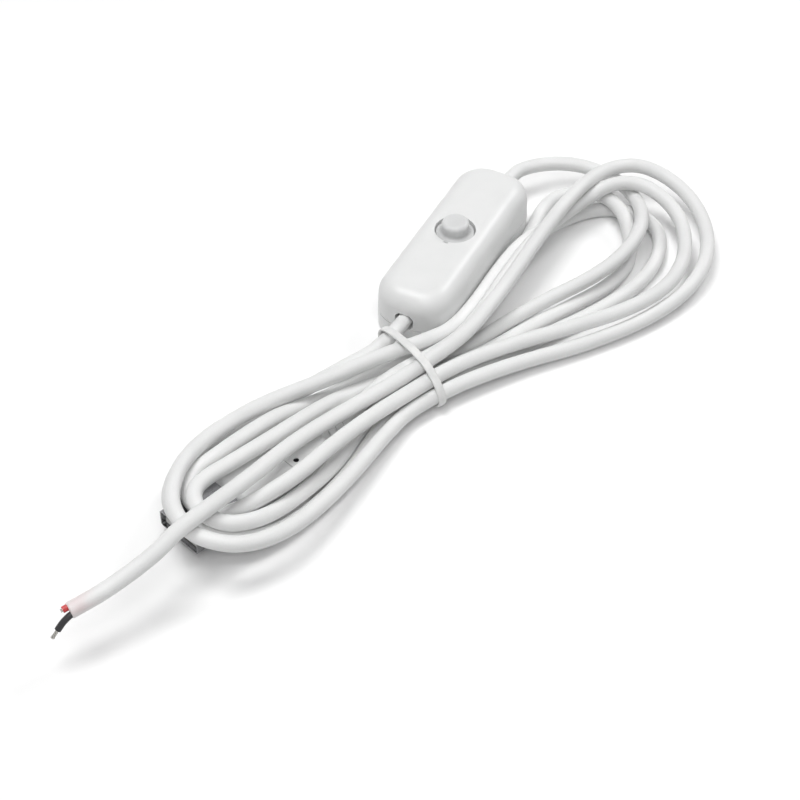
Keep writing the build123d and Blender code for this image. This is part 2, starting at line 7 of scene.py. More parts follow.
import bpy
import numpy as np
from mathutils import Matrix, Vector


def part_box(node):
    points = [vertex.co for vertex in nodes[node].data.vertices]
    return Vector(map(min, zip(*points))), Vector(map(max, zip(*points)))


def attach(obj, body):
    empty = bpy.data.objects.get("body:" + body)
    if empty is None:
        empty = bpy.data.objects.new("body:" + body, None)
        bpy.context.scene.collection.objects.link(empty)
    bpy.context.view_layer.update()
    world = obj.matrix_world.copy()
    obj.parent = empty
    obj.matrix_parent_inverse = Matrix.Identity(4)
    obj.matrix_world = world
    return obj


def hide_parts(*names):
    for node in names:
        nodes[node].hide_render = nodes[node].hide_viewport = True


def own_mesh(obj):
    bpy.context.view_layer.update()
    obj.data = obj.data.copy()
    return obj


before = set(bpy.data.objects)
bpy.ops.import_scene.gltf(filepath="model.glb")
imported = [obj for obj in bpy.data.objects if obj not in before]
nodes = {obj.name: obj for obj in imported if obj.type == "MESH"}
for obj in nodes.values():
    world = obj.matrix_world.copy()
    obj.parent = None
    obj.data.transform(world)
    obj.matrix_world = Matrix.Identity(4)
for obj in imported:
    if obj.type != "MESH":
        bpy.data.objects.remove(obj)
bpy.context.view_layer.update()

MM = 0.001
CORD_DIAMETER = 3.5 * MM
CORD_AROUND = 28
RIM_TURN = 0.07
CORE_SPACING = 1.6 * MM
RED_CORE_LENGTH = 2.3 * MM
RED_BARE_LENGTH = 0.4 * MM
BLACK_BARE_LENGTH = 2.2 * MM
JACKET_LAP = 1.2 * MM
# Top of the button's sunken flange, below which the button's colour holds painted shade
FLANGE_TOP = 13.4 * MM

# Bare wire: strands twisted round a middle one, tucked into the core and opening at the cut
CONDUCTOR_DIAMETER = 0.75 * MM
STRAND_COUNT = 7
STRAND_PITCH = 7 * MM
STRAND_TUCK = 0.2 * MM
STRAND_SPREAD = 0.3
STRAND_RAGGEDNESS = 0.05
STRAND_STEPS = 26
STRAND_AROUND = 10

# Return spring of the button
SPRING_DIAMETER = 5.6 * MM
SPRING_WIRE = 0.4 * MM
SPRING_TURNS = 3
SPRING_TURN_STEPS = 48
SPRING_AROUND = 10

# Frames of the bow and of the plug under it, in mm and degrees
BOW_ORIGIN = (-38.83, -8.25, 0.0)
BOW_TURN = -27.6
PLUG_MOUTH = (-67.9, -9.6, 0.0)
PLUG_TURN = 8.5
# Pin hole in the grip's top, coloured near black inside as painted shade, and its radius
PIN_HOLE = (29.0, -4.7, 8.0)
PIN_RADIUS = 0.65 * MM

# Strands inside the tie, across and up, and the band round them, in mm
TIE_STRANDS = [
    (-8.5, 3.65), (-4.95, 2.65), (-1.33, 2.65), (2.33, 2.7), (5.95, 2.7),
    (-5.95, 6.5), (-2.45, 8.3), (0.55, 6.1), (4.7, 7.95), (9.4, 7.0), (10.1, 7.0),
]
BAND_WIDTH = 2.0
BAND_THICKNESS = 0.7
BAND_GAP = 0.12
BAND_LIMPNESS = 1.6
BAND_SQUARENESS = 2 / 3
BAND_AROUND = 24
BELT_STEPS = 288

# Runs of the drooping black core: length in mm and angle below the cord's end in degrees
BLACK_CORE_RUNS = [(1.5, 0), (2.0, 25), (2.0, 42)]

# Studio: the floor's half side and squares, how far out the lamps light it and have faded, its own
# glow, and the fill light
FLOOR_REACH = 3.0
FLOOR_SQUARES = 12
FLOOR_LIT = 0.3
FLOOR_FADED = 0.9
FLOOR_GLOW = 0.03
FILL_LIGHT = 0.2

# Places of a colour Mix node's sockets, whose names repeat
MIX_SHARE, MIX_FIRST, MIX_SECOND, MIX_RESULT = 0, 6, 7, 2

# Route of the cord from the cut end to the switch, in mm along, across and above the bow
WIRE_SIDE_BOW = [
    (-97.7, -21.1, 12.5), (-90.5, -21.6, 13.5), (-79.2, -20.7, 15.2),
    (-72.8, -18.2, 15.5), (-65.6, -17, 15.8),
    (-53, -13.6, 14.2), (-37, -8, 11.6), (-21, -4.8, 9.1), (-7, -3, 7.6),
    (7, -1.9, 8.9), (14, -1.3, 10.1), (24, 2.5, 10.6),
    (35, 7.7, 11.0), (48, 14.5, 11.3), (61, 20.5, 11.2),
    (71, 24, 11.1), (79.3, 25, 10.4), (86.5, 22.7, 9.3),
    (90, 16.8, 8.0), (90.7, 9.2, 6.8), (88.7, 1.4, 5.8),
    (84, -6.2, 5.0), (77, -12.2, 4.0), (67, -15.7, 3.2), (54, -16.4, 2.6), (38, -14.2, 2.4),
    (22, -10.5, 3.1), (7, -8.8, 4.0),
    (-7, -8.2, 3.3), (-17, -12.3, 4.5), (-29, -18.2, 5.8), (-41, -23.3, 7.5), (-52, -26.6, 9.3),
    (-62.2, -25.9, 11.0), (-68.6, -19.8, 12.0), (-69.3, -12.8, 12.1),
    (-67.7, -7.2, 12.1), (-63.2, -2, 12.4),
    (-56, 2.6, 11.9), (-46.3, 5.4, 10.9), (-34.5, 5.8, 10.9), (-20.5, 4.5, 10.2), (-7, 5.2, 8.6),
    (7, 4.2, 7.3), (14, 4.5, 6.4), (24, 8.8, 5.6), (35.5, 14.9, 5.7), (47, 20, 5.6), (57, 22, 4.0),
    (65.5, 23.7, 2.0), (73.7, 22.1, 1.8), (79.8, 16, 1.8),
    (80.5, 8.4, 1.8), (76.6, 2.4, 1.8), (70.5, -2.3, 1.8),
    (61.2, -5.8, 1.8), (47, -6.9, 1.8), (33, -6, 1.8), (20, -6.1, 1.9), (7, -5.6, 2.65),
    (-7, -4.4, 2.65), (-17, -9, 1.9), (-29, -15.5, 1.8), (-41, -19.3, 2.0), (-51, -21, 3.4),
    (-59.5, -20.4, 6.2), (-65.7, -15.8, 8.1), (-67.9, -9, 8.2),
    (-66.3, -3.2, 8.2), (-60.5, 2.8, 7.4),
    (-53.6, 6.3, 6.2), (-43, 8.2, 5.4), (-29, 8.7, 5.5), (-14, 8.8, 6.3),
]
WIRE_SIDE_SWITCH = [(-36.2, 0, 7), (-23.5, 0, 7)]

# Route of the cord from the plug to the switch: out of the plug, along the bow, into the switch
PLUG_SIDE_PLUG = [(40, 0, 4), (50, 0, 4)]
PLUG_SIDE_BOW = [
    (-12, -0.5, 5.35), (-4.5, 0.6, 6.0),
    (7, 0.5, 6.2), (14, 0.8, 7.0), (24, 4.9, 7.4),
    (35, 10.8, 7.9), (48, 17, 8.1), (58.5, 20.4, 7.1),
    (68, 22, 7.2), (76, 21, 9.6), (81.7, 16.8, 9.5),
    (83.4, 10.3, 8.6), (82.4, 3.2, 7.8), (79, -3, 7.0),
    (73.2, -9.1, 6.3), (64, -13.4, 5.9), (51.6, -13.7, 5.8), (36.5, -10.5, 5.8), (21.5, -6.8, 5.9),
    (7, -5.2, 6.25),
    (-7, -6.7, 6.7), (-18, -8.5, 7.7), (-30, -11.7, 9.2), (-41, -15.2, 10.0), (-50, -16.2, 10.0),
    (-57.8, -15.2, 8.5), (-62, -12.6, 8.3), (-63.4, -8, 8.2),
    (-61.9, -3.7, 8.4), (-58.4, -0.9, 9.0),
    (-51, -0.4, 10.2), (-45, 0.6, 10.2), (-36.5, 1.6, 10.2),
    (-28, 3.7, 6.6), (-18, 5.9, 2.8), (-7, 6.7, 2.7),
    (7, 5.2, 2.65), (17, 4.9, 1.8), (29, 10.8, 1.8),
    (42, 17.8, 1.8), (54, 24.8, 1.8), (61.3, 29.9, 1.8),
    (66.5, 32, 1.8), (71.6, 30.1, 2.5), (74.4, 25.2, 4.5),
    (74.8, 20, 5.7), (74.3, 15, 5.6), (72.5, 10.2, 4.6),
    (69.3, 5.2, 2.8), (64.2, 0.8, 1.9), (56, -1.6, 1.8),
    (45, -1.8, 1.8), (32, -1.7, 1.8), (19, -2.4, 1.8),
    (7, -1.95, 2.65),
    (-7, -0.8, 2.65), (-18, -5.3, 2.0), (-29, -11.7, 2.8), (-39, -15.7, 4.8), (-51, -19.2, 7.0),
    (-59.5, -19.7, 10.2), (-63.2, -17.1, 11.5), (-64.6, -12.8, 11.9), (-63.2, -8.5, 11.9),
    (-59.5, -5.9, 11.4), (-51, -4.7, 10.7), (-39, -3.3, 10.3), (-28.5, -1.7, 9.8), (-18, 2.6, 4.8),
    (-7, 3, 2.7),
    (7, 1.65, 2.65), (17, 1.2, 2.0), (28, 2, 2.8),
    (39.5, 1.1, 4.6), (51.5, -0.6, 6.2), (61.5, 0, 7.6),
    (69.6, 3.3, 8.3), (75.5, 8.7, 7.8), (79.3, 14.7, 6.0), (81.5, 21.1, 5.3), (80.9, 28, 5.4),
    (77.6, 34, 6.0), (72.4, 38.2, 6.5), (66.2, 40.4, 7.0),
]
PLUG_SIDE_SWITCH = [(33.7, 0, 7), (23.5, 0, 7)]


def turned(points, origin, degrees):
    """Points of a level frame in mm: turned about Z by the angle, then moved to the origin."""
    cosine, sine = np.cos(np.radians(degrees)), np.sin(np.radians(degrees))
    spin = np.array([[cosine, -sine, 0], [sine, cosine, 0], [0, 0, 1]])
    return np.asarray(points, float) @ spin.T + np.asarray(origin, float)


def on_bow(points):
    """Points of the bow's frame, in metres of the shared frame."""
    return turned(points, BOW_ORIGIN, BOW_TURN) * MM


def on_plug(points):
    """Points of the plug's frame, in metres of the shared frame."""
    origin = turned([PLUG_MOUTH], BOW_ORIGIN, BOW_TURN)[0]
    return turned(points, origin, BOW_TURN + PLUG_TURN) * MM


class Flow:
    """A value that runs between shader nodes; arithmetic on it adds Math nodes to the same tree."""

    def __init__(self, tree, socket=None):
        self.tree = tree
        self.socket = socket

    def node(self, kind, settings=None, sockets=None, output=0):
        """Add any node: its settings are made first, then values or links go into its sockets."""
        made = self.tree.nodes.new(kind)
        for name, value in (settings or {}).items():
            setattr(made, name, value)
        for name, value in (sockets or {}).items():
            if isinstance(value, Flow):
                self.tree.links.new(value.socket, made.inputs[name])
            else:
                made.inputs[name].default_value = value
        return Flow(self.tree, made.outputs[output] if len(made.outputs) else None)

    def math(self, operation, first, second):
        return self.node("ShaderNodeMath", {"operation": operation}, {0: first, 1: second})

    def __add__(self, other):
        return self.math("ADD", self, other)

    def __radd__(self, other):
        return self.math("ADD", other, self)

    def __sub__(self, other):
        return self.math("SUBTRACT", self, other)

    def __rsub__(self, other):
        return self.math("SUBTRACT", other, self)

    def __mul__(self, other):
        return self.math("MULTIPLY", self, other)

    def __rmul__(self, other):
        return self.math("MULTIPLY", other, self)

    def __pow__(self, other):
        return self.math("POWER", self, other)


def cloud(place, size, detail=2.0):
    """Soft noise from 0 to 1 whose patches are about this many metres across."""
    sockets = {"Vector": place, "Scale": 1 / size, "Detail": detail}
    return place.node("ShaderNodeTexNoise", None, sockets)


def component(place, axis):
    """One coordinate of a place: its X, Y or Z."""
    return place.node("ShaderNodeSeparateXYZ", None, {"Vector": place}, axis)


def stretched(place, turn, factors):
    """The same coordinates, turned about Z by degrees and scaled along each axis."""
    sockets = {"Vector": place, "Rotation": (0, 0, np.radians(turn)), "Scale": factors}
    return place.node("ShaderNodeMapping", {"vector_type": "TEXTURE"}, sockets)


def rise(value, low, high):
    """0 below low, 1 above high and a smooth step between."""
    sockets = {"Value": value, "From Min": low, "From Max": high}
    return value.node("ShaderNodeMapRange", {"interpolation_type": "SMOOTHSTEP"}, sockets)


def tint(share, first, second):
    """Colour that goes from the first to the second as share goes from 0 to 1."""
    sockets = {MIX_SHARE: share, MIX_FIRST: first, MIX_SECOND: second}
    return share.node("ShaderNodeMix", {"data_type": "RGBA"}, sockets, MIX_RESULT)


def relief(height, metres):
    """Normal of a surface whose height grows by this many metres as the value goes from 0 to 1."""
    sockets = {"Height": height, "Distance": metres, "Strength": 1.0}
    return height.node("ShaderNodeBump", None, sockets, "Normal")


def finish(name, recipe, steady):
    """Material whose changing sockets come from recipe(place) and whose steady ones are numbers."""
    material = bpy.data.materials.new(name)
    material.use_nodes = True
    tree = material.node_tree
    tree.nodes.clear()
    start = Flow(tree)
    changing = recipe(start.node("ShaderNodeTexCoord", output="Object"))
    shader = start.node("ShaderNodeBsdfPrincipled", None, {**steady, **changing}, "BSDF")
    start.node("ShaderNodeOutputMaterial", None, {"Surface": shader})
    return material


def moulded(light, dark, rough, grain):
    """Recipe for moulded plastic: faint clouding, uneven gloss and the fine grain of the mould."""

    def recipe(place):
        patches = cloud(place, 9 * MM, 3.0)
        specks = cloud(place, 0.35 * MM, 2.0)
        grain_height = 0.7 * specks + 0.3 * cloud(place, 1.6 * MM)
        return {
            "Base Color": tint(rise(0.75 * patches + 0.25 * specks, 0.3, 0.7), light, dark),
            "Roughness": rough + 0.14 * (patches - 0.5) + 0.08 * (specks - 0.5),
            "Normal": relief(grain_height, grain),
        }

    return recipe


def drawn_metal(light, dark, rough, turn):
    """Recipe for drawn or stamped metal: fine lines along one direction and a few dull patches."""

    def recipe(place):
        lines = cloud(stretched(place, turn, (6.0, 0.16, 0.16)), 1 * MM, 3.0)
        patches = cloud(place, 3 * MM, 3.0)
        return {
            "Base Color": tint(rise(0.6 * lines + 0.4 * patches, 0.3, 0.7), light, dark),
            "Roughness": rough + 0.2 * (lines - 0.5) + 0.18 * (patches - 0.5),
            "Normal": relief(lines, 0.006 * MM),
        }

    return recipe


def cord_jacket(place):
    """Recipe for the extruded jacket: patterns follow the cord, and it reddens towards the cut."""
    straight = place.node("ShaderNodeAttribute", {"attribute_name": "straight"}, output="Vector")
    die_lines = cloud(stretched(straight, 0, (40.0, 0.5, 0.5)), 1 * MM, 2.0)
    patches = cloud(stretched(straight, 0, (3.0, 1.0, 1.0)), 4 * MM, 3.0)
    skin = cloud(straight, 0.3 * MM, 2.0)
    cloudy = rise(0.7 * patches + 0.3 * skin, 0.3, 0.7)
    plain = tint(cloudy, (0.83, 0.832, 0.828, 1), (0.765, 0.768, 0.765, 1))
    cut_share = 1 - rise(component(straight, "X"), 1.0 * MM, 8.0 * MM)
    blush = 0.45 * cut_share * rise(patches, 0.3, 0.6)
    return {
        "Base Color": tint(blush, plain, (0.78, 0.52, 0.53, 1)),
        "Roughness": 0.47 + 0.16 * (patches - 0.5) + 0.1 * (die_lines - 0.5),
        "Normal": relief(0.6 * die_lines + 0.4 * skin, 0.016 * MM),
    }


def tie_rubber(place):
    """Recipe for the soft tie: cloudy, a little greyer in its dents, with a fine skin."""
    patches = cloud(place, 3 * MM, 3.0)
    skin = cloud(place, 0.25 * MM, 2.0)
    return {
        "Base Color": tint(rise(patches, 0.3, 0.7), (0.82, 0.82, 0.81, 1), (0.73, 0.735, 0.73, 1)),
        "Roughness": 0.5 + 0.2 * (patches - 0.5),
        "Normal": relief(0.5 * patches + 0.5 * skin, 0.02 * MM),
    }


def button_plastic(place):
    """Recipe for the milky button: moulded plastic, coloured darker on the sunken flange round the
    cap as painted shade of its hole, with some dust.
    """
    plain = moulded((0.70, 0.705, 0.705, 1), (0.64, 0.645, 0.645, 1), 0.3, 0.006 * MM)(place)
    # Painted shade of the button's hole, with some dust: below the flange top the button is
    # coloured darker.
    cap = rise(component(place, "Z"), FLANGE_TOP + 0.1 * MM, FLANGE_TOP + 1.2 * MM)
    return {**plain, "Base Color": tint(cap, (0.6, 0.605, 0.605, 1), plain["Base Color"])}


def plug_plastic(place):
    """Recipe for the plug's grip: moulded plastic, with painted shade, near black, down in the pin
    hole of its top.
    """
    plain = moulded((0.81, 0.812, 0.808, 1), (0.75, 0.753, 0.75, 1), 0.45, 0.02 * MM)(place)
    pin_x, pin_y, top = on_plug([PIN_HOLE])[0].tolist()
    away = ((component(place, "X") - pin_x) ** 2 + (component(place, "Y") - pin_y) ** 2) ** 0.5
    within = 1 - rise(away, PIN_RADIUS + 0.01 * MM, PIN_RADIUS + 0.05 * MM)
    below = 1 - rise(component(place, "Z"), top - 0.4 * MM, top - 0.05 * MM)
    # Painted shade: inside the pin hole, below the grip's top, the colour is near black.
    dark = (0.03, 0.03, 0.032, 1)
    return {**plain, "Base Color": tint(within * below, plain["Base Color"], dark)}


PLASTIC = {"IOR": 1.5, "Specular IOR Level": 0.5}
MILKY_PLASTIC = {
    **PLASTIC,
    "Subsurface Weight": 0.5,
    "Subsurface Radius": (1, 1, 1),
    "Subsurface Scale": 2 * MM,
}
SOFT_PLASTIC = {"IOR": 1.48, "Specular IOR Level": 0.42}
METAL = {"Metallic": 1.0}
PLUG_AXIS_TURN = BOW_TURN + PLUG_TURN

finishes = {
    "cord": finish("jacket_white", cord_jacket, SOFT_PLASTIC),
    "case": finish(
        "case_white",
        moulded((0.80, 0.803, 0.80, 1), (0.765, 0.77, 0.767, 1), 0.36, 0.01 * MM),
        PLASTIC,
    ),
    "button": finish("button_milky", button_plastic, MILKY_PLASTIC),
    "screw": finish(
        "screw_steel",
        drawn_metal((0.62, 0.62, 0.6, 1), (0.45, 0.45, 0.44, 1), 0.34, 90),
        METAL,
    ),
    "module": finish(
        "module_black",
        moulded((0.03, 0.03, 0.032, 1), (0.018, 0.018, 0.019, 1), 0.45, 0.02 * MM),
        PLASTIC,
    ),
    "contact": finish(
        "contact_brass",
        drawn_metal((0.72, 0.55, 0.28, 1), (0.52, 0.38, 0.18, 1), 0.3, 0),
        METAL,
    ),
    "spring": finish(
        "spring_steel",
        drawn_metal((0.6, 0.6, 0.59, 1), (0.42, 0.42, 0.42, 1), 0.28, 0),
        METAL,
    ),
    "red_insulation": finish(
        "core_red",
        moulded((0.62, 0.07, 0.07, 1), (0.5, 0.05, 0.055, 1), 0.4, 0.01 * MM),
        SOFT_PLASTIC,
    ),
    "black_insulation": finish(
        "core_black",
        moulded((0.035, 0.036, 0.038, 1), (0.02, 0.02, 0.022, 1), 0.38, 0.01 * MM),
        SOFT_PLASTIC,
    ),
    "tinned_wire": finish(
        "strand_tin",
        drawn_metal((0.56, 0.55, 0.52, 1), (0.34, 0.33, 0.31, 1), 0.26, BOW_TURN),
        METAL,
    ),
    # Nickel-plated shell: its colour is set darker than bare nickel, as painted dark reflection of
    # its surroundings.
    "plug_shell": finish(
        "shell_nickel_dark_reflection",
        drawn_metal((0.38, 0.38, 0.39, 1), (0.25, 0.25, 0.26, 1), 0.24, PLUG_AXIS_TURN),
        METAL,
    ),
    "tongue": finish(
        "tongue_white",
        moulded((0.72, 0.72, 0.71, 1), (0.62, 0.62, 0.61, 1), 0.45, 0.012 * MM),
        PLASTIC,
    ),
    "gold": finish(
        "blade_gold",
        drawn_metal((0.83, 0.62, 0.28, 1), (0.62, 0.44, 0.18, 1), 0.26, PLUG_AXIS_TURN),
        METAL,
    ),
    "grip": finish("grip_white", plug_plastic, SOFT_PLASTIC),
    "band": finish("band_white", tie_rubber, SOFT_PLASTIC),
}
node_finish = {
    "upper_shell": "case", "lower_shell": "case", "case_screw_1": "screw",
    "case_screw_2": "screw", "push_button": "button", "module_stem": "module",
    "contact_bridge": "contact", "module_body": "module", "module_cover": "module",
    "contact_in": "contact", "contact_out": "contact", "red_lead_in": "red_insulation",
    "red_lead_out": "red_insulation", "black_lead": "black_insulation",
    "red_core": "red_insulation", "black_core": "black_insulation", "plug_shell": "plug_shell",
    "plug_tongue": "tongue", "plug_contact_1": "gold", "plug_contact_2": "gold",
    "plug_contact_3": "gold", "plug_contact_4": "gold", "plug_grip": "grip",
}
for node_name, finish_name in node_finish.items():
    slots = nodes[node_name].data.materials
    slots.clear()
    slots.append(finishes[finish_name])


def put(name, points, faces, slot_name, body, stands_for):
    """New smooth mesh piece with its finish, on its body, in place of the nodes it stands for."""
    mesh = bpy.data.meshes.new(name)
    mesh.from_pydata(points.tolist(), [], faces)
    mesh.polygons.foreach_set("use_smooth", np.ones(len(mesh.polygons), bool))
    mesh.materials.append(finishes[slot_name])
    mesh.update()
    piece = bpy.data.objects.new(name, mesh)
    bpy.context.scene.collection.objects.link(piece)
    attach(piece, body)
    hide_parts(*stands_for)
    return piece


def ring_faces(rings, around, closed):
    """Quads between neighbouring rings of a grid; an open tube gets a flat face over each end."""
    rows = rings if closed else rings - 1
    ring, step = np.meshgrid(np.arange(rows), np.arange(around), indexing="ij")
    here, ahead = ring * around, (ring + 1) % rings * around
    beside = (step + 1) % around
    corners = (here + step, here + beside, ahead + beside, ahead + step)
    quads = np.stack(corners, axis=-1).reshape(-1, 4).tolist()
    if closed:
        return quads
    first = np.arange(around)[::-1].tolist()
    last = (np.arange(around) + (rings - 1) * around).tolist()
    return quads + [first, last]


def smooth_line(name, points):
    """Points along the smooth NURBS line that has the route's points as its control points."""
    curve = bpy.data.curves.new(name, "CURVE")
    curve.dimensions = "3D"
    curve.resolution_u = 8
    spline = curve.splines.new("NURBS")
    spline.points.add(len(points) - 1)
    spline.points.foreach_set("co", np.c_[points, np.ones(len(points))].ravel())
    spline.order_u = 3
    spline.use_endpoint_u = True
    holder = bpy.data.objects.new(name, curve)
    mesh = bpy.data.meshes.new_from_object(holder)
    line = np.zeros(len(mesh.vertices) * 3)
    mesh.vertices.foreach_get("co", line)
    bpy.data.objects.remove(holder)
    bpy.data.meshes.remove(mesh)
    return line.reshape(-1, 3)


def tube_rings(line, radius, around):
    """Rings square to a line: centre + radius * (cos a * side + sin a * up), with side level."""
    ahead = np.gradient(line, axis=0)
    ahead /= np.linalg.norm(ahead, axis=1)[:, None]
    side = np.cross(ahead, (0, 0, 1.0))
    side /= np.linalg.norm(side, axis=1)[:, None]
    up = np.cross(side, ahead)
    angle = np.linspace(0, 2 * np.pi, around, endpoint=False)[None, :, None]
    radius = np.broadcast_to(radius, len(line))[:, None, None]
    return line[:, None] + radius * (np.cos(angle) * side[:, None] + np.sin(angle) * up[:, None])


def cord_tube(name, route, node_name):
    """Round cord along its smooth line, its cut rims turned in a little.

    The attribute "straight" holds each point as it would lie on the cord pulled straight: the
    distance from the first end, then the two coordinates across the section.
    """
    line = smooth_line(name + "_line", route)
    radius = CORD_DIAMETER / 2
    rings = tube_rings(line, radius, CORD_AROUND)
    rim_in = line[0] + (1 - RIM_TURN) * (rings[0] - line[0])
    rim_out = line[-1] + (1 - RIM_TURN) * (rings[-1] - line[-1])
    turn_in = RIM_TURN * radius * (line[1] - line[0]) / np.linalg.norm(line[1] - line[0])
    turn_out = RIM_TURN * radius * (line[-2] - line[-1]) / np.linalg.norm(line[-2] - line[-1])
    first, last = rings[0] + turn_in, rings[-1] + turn_out
    rings = np.concatenate([rim_in[None], first[None], rings[1:-1], last[None], rim_out[None]])
    faces = ring_faces(len(rings), CORD_AROUND, False)
    piece = put(name, rings.reshape(-1, 3), faces, "cord", "lead", [node_name])
    run = np.r_[0, np.cumsum(np.linalg.norm(np.diff(line, axis=0), axis=1))]
    run = np.r_[0, run, run[-1]]
    angle = np.linspace(0, 2 * np.pi, CORD_AROUND, endpoint=False)
    section = radius * np.c_[np.cos(angle), np.sin(angle)]
    across = np.broadcast_to(section, (len(rings), CORD_AROUND, 2))
    along = np.broadcast_to(run[:, None, None], (len(rings), CORD_AROUND, 1))
    straight = piece.data.attributes.new("straight", "FLOAT_VECTOR", "POINT")
    straight.data.foreach_set("vector", np.concatenate([along, across], axis=2).ravel())
    return piece, line


def band_rings(belt, normals, axis):
    """Rounded-rectangle section of the band, carried round its closed belt line.

    A point is belt + out * normal + wide * axis, with out and wide on a squared circle: the sine
    and cosine of its angle, each raised to the squareness with its sign kept.
    """
    angle = np.linspace(0, 2 * np.pi, BAND_AROUND, endpoint=False)
    sine, cosine = np.sin(angle), np.cos(angle)
    out = np.sign(sine) * np.abs(sine) ** BAND_SQUARENESS * BAND_THICKNESS / 2
    wide = np.sign(cosine) * np.abs(cosine) ** BAND_SQUARENESS * BAND_WIDTH / 2
    return belt[:, None] + out[None, :, None] * normals[:, None] + wide[None, :, None] * axis


def tie_band():
    """Belt round the strands, a little stiffer than a tight one.

    For each direction its distance out is a soft maximum of the strands' distances that way, which
    is log(sum(exp(k * distance))) / k, plus a strand's radius, the gap and half the band. Its place
    along the belt is the mean of the strands' places, weighted by the same powers. Under the
    strands the belt lies flat, as low as a tight one.
    """
    strands = np.array(TIE_STRANDS)
    angle = np.linspace(0, 2 * np.pi, BELT_STEPS, endpoint=False)
    facing = np.c_[np.cos(angle), np.sin(angle)]
    beside = np.c_[-np.sin(angle), np.cos(angle)]
    distance = facing @ strands.T
    furthest = distance.max(axis=1, keepdims=True)
    weight = np.exp(BAND_LIMPNESS * (distance - furthest))
    total = weight.sum(axis=1, keepdims=True)
    reach = CORD_DIAMETER / MM / 2 + BAND_GAP + BAND_THICKNESS / 2
    out = furthest + np.log(total) / BAND_LIMPNESS + reach
    along = (weight / total * (beside @ strands.T)).sum(axis=1, keepdims=True)
    belt = np.c_[np.zeros(len(angle)), out * facing + along * beside]
    belt[:, 2] = np.maximum(belt[:, 2], strands[:, 1].min() - reach)
    normals = np.c_[np.zeros(len(angle)), facing]
    rings = band_rings(belt, normals, np.array([1.0, 0, 0]))
    faces = ring_faces(BELT_STEPS, BAND_AROUND, True)
    return put("tie_ring", on_bow(rings.reshape(-1, 3)), faces, "band", "lead", ["tie_band"])


def bare_strands(name, start, ahead, length, node_name):
    """Bare wire: one strand in the middle and the others laid round it, all thin round tubes.

    A strand's centre is start + s * ahead + lay * (cos a * side + sin a * up), where a is the
    strand's own angle plus a twist that grows with s, and the lay opens out towards the cut end.
    The strands are cut a little unevenly, and three of them side by side are as wide as the wire.
    """
    strand_radius = CONDUCTOR_DIAMETER / 6
    side = np.cross(ahead, (0, 0, 1.0))
    side /= np.linalg.norm(side)
    up = np.cross(side, ahead)
    number = np.arange(STRAND_COUNT)[:, None]
    cut = length * (1 - STRAND_RAGGEDNESS * (number * 3 % STRAND_COUNT) / STRAND_COUNT)
    distance = -STRAND_TUCK + (cut + STRAND_TUCK) * np.linspace(0, 1, STRAND_STEPS)
    opening = 1 + STRAND_SPREAD * np.clip(distance / length, 0, 1) ** 3
    lay = np.where(number > 0, 2 * strand_radius, 0) * opening
    twist = 2 * np.pi * (number / (STRAND_COUNT - 1) + distance / STRAND_PITCH)
    middle = (lay * np.cos(twist))[..., None] * side + (lay * np.sin(twist))[..., None] * up
    middle += start + distance[..., None] * ahead
    turn = np.linspace(0, 2 * np.pi, STRAND_AROUND, endpoint=False)[:, None]
    section = strand_radius * (np.cos(turn) * side + np.sin(turn) * up)
    points = middle[:, :, None] + section
    tube = ring_faces(STRAND_STEPS, STRAND_AROUND, False)
    first_point = (np.arange(STRAND_COUNT) * STRAND_STEPS * STRAND_AROUND)[:, None, None]
    quads = (np.array(tube[:-2]) + first_point).reshape(-1, 4).tolist()
    caps = (np.array(tube[-2:]) + first_point).reshape(-1, STRAND_AROUND).tolist()
    return put(name, points.reshape(-1, 3), quads + caps, "tinned_wire", "lead", [node_name])


def return_spring():
    """Spring under the button: a helix that climbs evenly with its angle, as a thin round tube.
    """
    base, top = (corner[2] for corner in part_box("button_spring"))
    steps = SPRING_TURN_STEPS * SPRING_TURNS + 1
    angle = np.linspace(0, 2 * np.pi * SPRING_TURNS, steps)
    climb = np.linspace(base + SPRING_WIRE / 2, top - SPRING_WIRE / 2, steps)
    line = np.c_[SPRING_DIAMETER / 2 * np.cos(angle), SPRING_DIAMETER / 2 * np.sin(angle), climb]
    points = tube_rings(line, SPRING_WIRE / 2, SPRING_AROUND).reshape(-1, 3)
    points[:, 2] = np.clip(points[:, 2], base, top)
    faces = ring_faces(steps, SPRING_AROUND, False)
    coil = put("return_spring", points, faces, "spring", "lead", ["button_spring"])
    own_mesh(coil)


def cut_end():
    """Place of the cut end where the cores leave the cord, and the direction that they point in."""
    first, second = on_bow(WIRE_SIDE_BOW[:2])
    return first, (first - second) / np.linalg.norm(first - second)


def cut_wires():
    """Both bare wires, from the ends of the red stub and of the drooping black core."""
    first, outward = cut_end()
    right = np.cross((0, 0, 1.0), outward)
    right /= np.linalg.norm(right)
    up = np.cross(outward, right)
    place = CORE_SPACING / np.sqrt(8)
    red_end = first + place * (up - right) + RED_CORE_LENGTH * outward
    runs = np.array(BLACK_CORE_RUNS)
    droop = np.radians(runs[:, 1:])
    directions = np.cos(droop) * outward - np.sin(droop) * up
    black_end = first + place * (right - up) + (runs[:, :1] * MM * directions).sum(axis=0)
    tip = directions[-1]
    red = bare_strands("red_strands", red_end, outward, RED_BARE_LENGTH, "red_conductor")
    black = bare_strands("black_strands", black_end, tip, BLACK_BARE_LENGTH, "black_conductor")
    return [red, black]


# Cords: the jacket reaches a little way over the cores at the cut end
core_root, core_direction = cut_end()
jacket_end = core_root + JACKET_LAP * core_direction
wire_entry = np.array(WIRE_SIDE_SWITCH) * MM
plug_entry = np.array(PLUG_SIDE_SWITCH) * MM
wire_route = np.concatenate([[jacket_end], on_bow(WIRE_SIDE_BOW), wire_entry])
plug_route = np.concatenate([on_plug(PLUG_SIDE_PLUG), on_bow(PLUG_SIDE_BOW), plug_entry])
wire_cord, wire_line = cord_tube("wire_side_jacket", wire_route, "wire_side_cord")
plug_cord, plug_line = cord_tube("plug_side_jacket", plug_route, "plug_side_cord")
tie = tie_band()
bare_wires = cut_wires()
return_spring()

